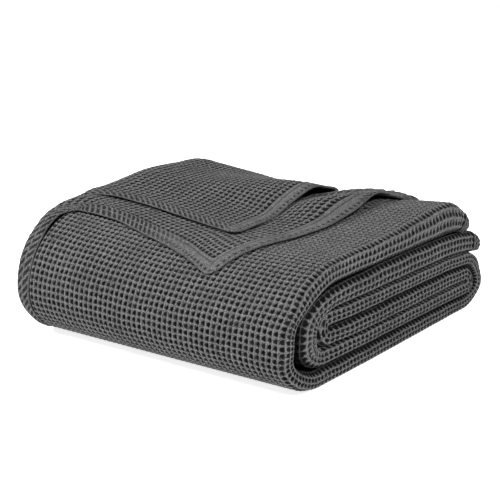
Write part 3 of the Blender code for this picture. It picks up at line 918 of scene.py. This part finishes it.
class Finish:
    """A material's nodes, made one by one."""

    def __init__(self, name):
        self.material = bpy.data.materials.new(name)
        self.material.use_nodes = True
        self.tree = self.material.node_tree
        self.shader = self.tree.nodes["Principled BSDF"]

    def node(self, kind, settings, values):
        node = self.tree.nodes.new(kind)
        for key, setting in settings.items():
            setattr(node, key, setting)
        pairs = values.items() if isinstance(values, dict) else enumerate(values)
        for key, value in pairs:
            self.feed(node.inputs[key], value)
        return node

    def feed(self, socket, value):
        if isinstance(value, Value):
            value = value.socket
        if isinstance(value, bpy.types.NodeSocket):
            self.tree.links.new(value, socket)
        else:
            socket.default_value = value

    def blend(self, share, low, high):
        """A color between two, by the mix node's color sockets."""
        node = self.node("ShaderNodeMix", {"data_type": "RGBA"},
                         {"Factor": share, 6: low, 7: high})
        return node.outputs[2]

    def read_pair(self, uv_map):
        """The two values a mesh is marked with under a name, and both as one."""
        place = self.node("ShaderNodeUVMap", {"uv_map": uv_map}, {})
        split = self.node("ShaderNodeSeparateXYZ", {}, [place.outputs[0]])
        return Value(self, split.outputs[0]), Value(self, split.outputs[1]), place.outputs[0]

    def noise(self, spot, scale, detail):
        node = self.node("ShaderNodeTexNoise", {},
                         {"Vector": spot, "Scale": scale, "Detail": detail})
        return Value(self, node.outputs[0])

    def settle(self, **values):
        """Values that are the same all over, by the names of the shader's sockets."""
        for name, value in values.items():
            self.shader.inputs[name.replace("_", " ")].default_value = value


RIDGE_COLOR = (0.098, 0.096, 0.098, 1.0)
# near-black colour of the painted shade in pits, strokes, pressed line and bend gaps, and of
# the darker seam and stitches
PIT_SHADE_COLOR = (0.004, 0.004, 0.0042, 1.0)
HEM_COLOR = (0.084, 0.082, 0.084, 1.0)
FULL_TURN = 6.2832
SHADE_LEAN = (0.20, 0.14)  # how far a pit's painted shade leans along and across its cell, as if lit from one side
PIT_SHADE_START = (0.07, 3.0)  # where a pit's painted shade starts, and how steeply
PIT_DIFFERS = (0.16, 0.90)  # what chance adds to the least painted shade of a pit
STROKE_SHADE = (0.32, 5.0)  # painted shade of a hem's strokes, and of their ends, set the same way
STROKE_ENDS_SHADE = (0.08, 6.0)
STITCH_DARK = (0.35, 3.5)  # the same for the darker stitches along its edge
DOTS_NARROW = 3.2  # steepness across the row of stitches, and the pressed line
LINE_NARROW = 6.0
SEAM_DARK = (0.30, 1.6)
STROKE_SHARE, LINE_SHARE, SEAM_SHARE = 0.85, 0.7, 0.8  # of the pits' painted shade for the strokes and the pressed line; the seam's share is its darker sewing
FUZZ = (900.0, 3.0, 2.5)  # scale, detail and strength of the noise in the tone
PATCHES = (26.0, 2.0, 0.2)
CELL_TONE = 0.1  # strength of the differences from cell to cell
YARN_STEPS = 18.85  # bump of the yarns down into a pit, in radians a cell
YARN_TWIST = 50.3  # and of their twist
TWIST_BUMP, FUZZ_BUMP = 0.15, 0.6
BUMP = (0.35, 0.0004)  # strength and height


def waffle_finish():
    """Charcoal cotton: light ridges, painted shade in the pits, hem strokes and bend gaps,
    darker sewing, yarns and a little fuzz.
    """
    cotton = Finish("waffle_cotton")
    s, t, place = cotton.read_pair("weave")
    strokes, plain, _ = cotton.read_pair("sewn")
    along_edge, into, _ = cotton.read_pair("edge")
    # painted shade in the gaps between the bundles at the right end's bends
    crease = cotton.read_pair("crease")[0]
    whole = cotton.node("ShaderNodeVectorMath", {"operation": "FLOOR"}, [place])
    differing = cotton.node("ShaderNodeTexWhiteNoise", {"noise_dimensions": "2D"},
                            {"Vector": whole.outputs[0]})
    differing = Value(cotton, differing.outputs[0])
    away_s = s.away_from_ridge()
    away_t = t.away_from_ridge()
    # painted shade in the pits, leaning to one side of each cell as if lit from there
    one_sided_shade = (s * FULL_TURN).wave() * SHADE_LEAN[0] + (t * FULL_TURN).wave() * SHADE_LEAN[1]
    deep = (away_s.smaller(away_t) + away_s * away_t) * 0.5
    pit = (deep - one_sided_shade * away_s).past(*PIT_SHADE_START)
    pit = pit * (differing * PIT_DIFFERS[0] + PIT_DIFFERS[1])
    # painted shade in the hem's slanting strokes
    dash = (along_edge + into * SLANT).away_from_ridge().past(*STROKE_SHADE)
    dash = dash * into.away_from_ridge().past(*STROKE_ENDS_SHADE)
    stitch = along_edge.away_from_ridge().past(*STITCH_DARK)
    dots = into.near(DOTS_AT, DOTS_NARROW) * stitch
    # painted shade in the pressed line
    line = into.near(LINE_AT, LINE_NARROW) * LINE_SHARE
    hemmed = strokes + plain
    seam = (hemmed * (1.0 - hemmed) * 4.0).past(*SEAM_DARK) * (stitch * 0.5 + 0.5)
    # painted shade in pits, strokes, pressed line and bend gaps, with the darker seam and
    # stitches
    shade_and_sewing = pit * (1.0 - hemmed) + dash * strokes * STROKE_SHARE + (dots + line) * plain
    shade_and_sewing = (shade_and_sewing + seam * SEAM_SHARE + crease).held()
    spot = cotton.node("ShaderNodeTexCoord", {}, {}).outputs["Object"]
    fuzz = cotton.noise(spot, *FUZZ[:2])
    patch = cotton.noise(spot, *PATCHES[:2])
    ridge = cotton.blend(hemmed, RIDGE_COLOR, HEM_COLOR)
    color = cotton.blend(shade_and_sewing, ridge, PIT_SHADE_COLOR)
    tone = (fuzz - 0.5) * FUZZ[2] + (patch - 0.5) * PATCHES[2] + (differing - 0.5) * CELL_TONE
    tone = (tone + 0.5).held() * 2.0
    shade = cotton.node("ShaderNodeVectorMath", {"operation": "SCALE"},
                        {0: color, "Scale": tone})
    cotton.feed(cotton.shader.inputs["Base Color"], shade.outputs[0])
    steps = (away_s.smaller(away_t) * YARN_STEPS).wave()
    twists = (s * YARN_TWIST).wave() + (t * YARN_TWIST).wave()
    yarn = steps * 0.5 + twists * TWIST_BUMP + fuzz * FUZZ_BUMP
    bump = cotton.node("ShaderNodeBump", {},
                       {"Strength": BUMP[0], "Distance": BUMP[1], "Height": yarn})
    cotton.feed(cotton.shader.inputs["Normal"], bump.outputs[0])
    cotton.settle(Roughness=0.93, Specular_IOR_Level=0.05, Sheen_Weight=0.03,
                  Sheen_Roughness=0.45)
    return cotton.material


# ---- the pieces
cotton = waffle_finish()
BEND_FIRST, BEND_LAST = CELLS_U[BEND_STEPS], CELLS_U[2 * BEND_STEPS]
# cells where the woven pieces meet: across the bundle, and along it
SKIN_LAST = int(BEND_FIRST) - 1
SKIN_RETURN = math.ceil(BEND_LAST) + 2
FRONT_LAST = cells_at("lowest", 0.150)
UNDER_LAST = cells_at("third", 0.050)
END_FIRST = cells_at("second end") - 9
END_ACROSS = 42  # cells of the second panel's free end that are woven
V_LAST = int(round(CELLS_V[-1]))
# share of the right end's bend after which painted shade darkens the cloth into the gap
CREASE_FROM = {"outer_cloth": 0.62, "under_cloth": 0.68, "right_folds": 0.67}


def hem_share(cells_in):
    """1 within a hem, 0 beyond it, by the distance in from the free edge."""
    return 1.0 - held((cells_in - HEM_CELLS) / HEM_BLEND)


def bundle_piece(name, s_range, t_range, free=()):
    """Part of the outermost cloth of the bundles, laid cell by cell."""
    s = cell_places(*s_range)
    t = cell_places(*t_range)
    ss, tt = np.meshgrid(s, t, indexing="ij")
    slip_s, slip_t = waver(ss, tt)
    free_to_slip = held(np.minimum(tt, V_LAST - tt) / WAVER_EASED) * held(ss / WAVER_EASED)
    base = warp(bundle_place(ss + slip_s * free_to_slip, tt + slip_t * free_to_slip))
    strokes = np.zeros_like(ss)
    plain = np.zeros_like(ss)
    rounded = np.ones_like(ss)
    into = tt
    if "start" in free:
        strokes = hem_share(tt)
        rounded = rounded * edge_rounding(tt * CELL_SIZES[0][2])
    if "finish" in free:
        into = t[-1] - tt
        strokes = hem_share(into)
        rounded = rounded * edge_rounding(into * CELL_SIZES[-1][2])
    if "left" in free:
        rounded = rounded * edge_rounding((ss - s[0]) * CELL_FRONT)
    joins = [side for side in ("start", "finish", "left", "right") if side not in free]
    # painted shade: the cloth darkens over the last part of the end bend, into the gap
    shaded = np.zeros_like(ss)
    if name in CREASE_FROM:
        begin = BEND_FIRST + (BEND_LAST - BEND_FIRST) * CREASE_FROM[name]
        shaded = ease(ss, begin, BEND_LAST)
    return lay_cloth(name, base, s, t, (strokes, plain), (ss, into), shaded, rounded,
                     cotton, joins)


def flap_piece(name, net, hem_column, sink, smooth):
    """One corner of the cloth round the left end and over the top."""
    last_row = len(net) - 1
    rows = knots_of(net, 0, last_row - 1, FLAP_CELL[0], True)
    columns = knots_of(net, 1, hem_column, FLAP_CELL[1], False)
    s = cell_places(0, int(round(rows[-1])))
    t = cell_places(0, int(round(columns[-1])))
    flat = smooth_line(rows, net, s)
    base = smooth_line(columns, flat.transpose(1, 0, 2), t).transpose(1, 0, 2)
    ss, tt = np.meshgrid(s, t, indexing="ij")
    base = warp(base)
    from_right = rows[-1] - ss
    du, dv, normal = facing(base, s, t, True)
    p = held(1.0 - from_right / CORNER)
    q = held(1.0 - tt / CORNER)
    draw_s = CORNER * p * (1.0 - np.sqrt(1.0 - 0.5 * q * q))
    draw_t = CORNER * q * (1.0 - np.sqrt(1.0 - 0.5 * p * p))
    base = base - du * draw_s[..., None] + dv * draw_t[..., None]
    settled = (1.0 - ease(base[..., 0] - MOVED[0], *SINK_X)) * (1.0 - ease(tt, *SINK_CELLS))
    slip_s, slip_t = waver(ss, tt)
    woven = (1.0 - hem_share(from_right)) * (1.0 - hem_share(tt))
    base = base + du * (slip_s * woven)[..., None] + dv * (slip_t * woven)[..., None]
    base = base - normal * (sink * settled)[..., None]
    plain = hem_share(from_right)
    front = hem_share(tt) * (1.0 - plain)
    strokes = front * (1.0 - smooth * ease(base[..., 0] - MOVED[0], *SMOOTH_X))
    strokes = strokes + plain * ease(base[..., 1] - MOVED[1], *STROKED_Y)
    plain = np.maximum(plain + front - strokes, 0.0)
    rounded = edge_rounding(from_right * FLAP_CELL[0]) * edge_rounding(tt * FLAP_CELL[1])
    rounded = rounded * edge_rounding((columns[-1] - tt) * FLAP_CELL[1])
    nearer = from_right < tt
    edge = (np.where(nearer, tt, ss), np.minimum(from_right, tt))
    return lay_cloth(name, base, s, t, (strokes, plain), edge, np.zeros_like(ss), rounded,
                     cotton, turned=True)


upper_net = flap_net(0, 1, False, UPPER_FRONT, UPPER_RIGHT, UPPER_BACK)
lower_net = flap_net(1, 0, True, LOWER_FRONT, LOWER_RIGHT, LOWER_BACK)
pieces = [
    bundle_piece("outer_cloth", (0, SKIN_RETURN), (0, FRONT_LAST), ("start", "left")),
    bundle_piece("under_cloth", (0, SKIN_RETURN), (FRONT_LAST, UNDER_LAST), ("left",)),
    bundle_piece("right_folds", (SKIN_LAST, SKIN_RETURN), (UNDER_LAST, V_LAST), ("finish",)),
    bundle_piece("second_end", (SKIN_RETURN, SKIN_RETURN + END_ACROSS), (END_FIRST, V_LAST),
                 ("finish", "right")),
    flap_piece("upper_flap", upper_net, 1, SINK, 0.0),
    flap_piece("lower_flap", lower_net, 1, 0.0, 1.0),
]
layers = inner_layers(cotton, SKIN_LAST, SKIN_RETURN, (UNDER_LAST, END_FIRST))
for piece in [layers, *pieces]:
    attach(piece, "root")
    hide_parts("blanket")

# ---- floor and light
FLOOR_REACH = 60.0
PAPER_COLORS = ((0.93, 0.93, 0.93, 1.0), (0.95, 0.95, 0.95, 1.0))
WHITE = (1.0, 1.0, 1.0, 1.0)
SKY = 0.22
# name, place, what it points at, size and power of each soft light
LIGHTS = (
    ("overhead", (-0.7, -0.3, 2.1), (0.0, 0.0, 0.05), 0.7, 26.0),
    ("front_left", (-1.6, -1.5, 1.6), (0.0, 0.0, 0.07), 0.6, 60.0),
    ("right", (1.7, -0.8, 1.8), (0.1, 0.0, 0.07), 0.6, 62.0),
)
EYE = (0.8517, -1.1739, 0.4689)
EYE_DOWN, EYE_TURN = 14.7821, 36.1537  # degrees below level, and round from the front
LENS, SENSOR = 86.4, 36.0

floor_mesh = bpy.data.meshes.new("floor")
floor_mesh.from_pydata([(x * FLOOR_REACH, y * FLOOR_REACH, 0)
                        for x, y in ((-1, -1), (1, -1), (1, 1), (-1, 1))], [], [(0, 1, 2, 3)])
floor = in_scene("floor", floor_mesh)
paper = Finish("pale_floor")
grain = paper.node("ShaderNodeTexNoise", {}, {"Scale": 40.0})
paper.feed(paper.shader.inputs["Base Color"], paper.blend(grain.outputs[0], *PAPER_COLORS))
paper.settle(Roughness=0.9, Specular_IOR_Level=0.1, Emission_Color=WHITE,
             Emission_Strength=0.80)
floor_mesh.materials.append(paper.material)

world = bpy.data.worlds.new("studio")
bpy.context.scene.world = world
world.use_nodes = True
sky = world.node_tree.nodes["Background"]
sky.inputs["Color"].default_value = WHITE
sky.inputs["Strength"].default_value = SKY


def soft_light(name, place, aim, size, power):
    lamp = bpy.data.lights.new(name, "AREA")
    lamp.shape = "SQUARE"
    lamp.size = size
    lamp.energy = power
    light = in_scene(name, lamp)
    light.location = place
    way = np.array(aim, float) - np.array(place, float)
    tilt = math.atan2(math.hypot(way[0], way[1]), -way[2])
    light.rotation_euler = (tilt, 0.0, math.atan2(way[1], way[0]) - math.pi / 2)


for row in LIGHTS:
    soft_light(*row)

eye = bpy.data.cameras.new("camera")
eye.sensor_width = SENSOR
eye.lens = LENS
camera = in_scene("camera", eye)
camera.location = EYE
camera.rotation_euler = (math.radians(90.0 - EYE_DOWN), 0.0, math.radians(EYE_TURN))
bpy.context.scene.camera = camera
bpy.context.scene.view_settings.view_transform = "Standard"
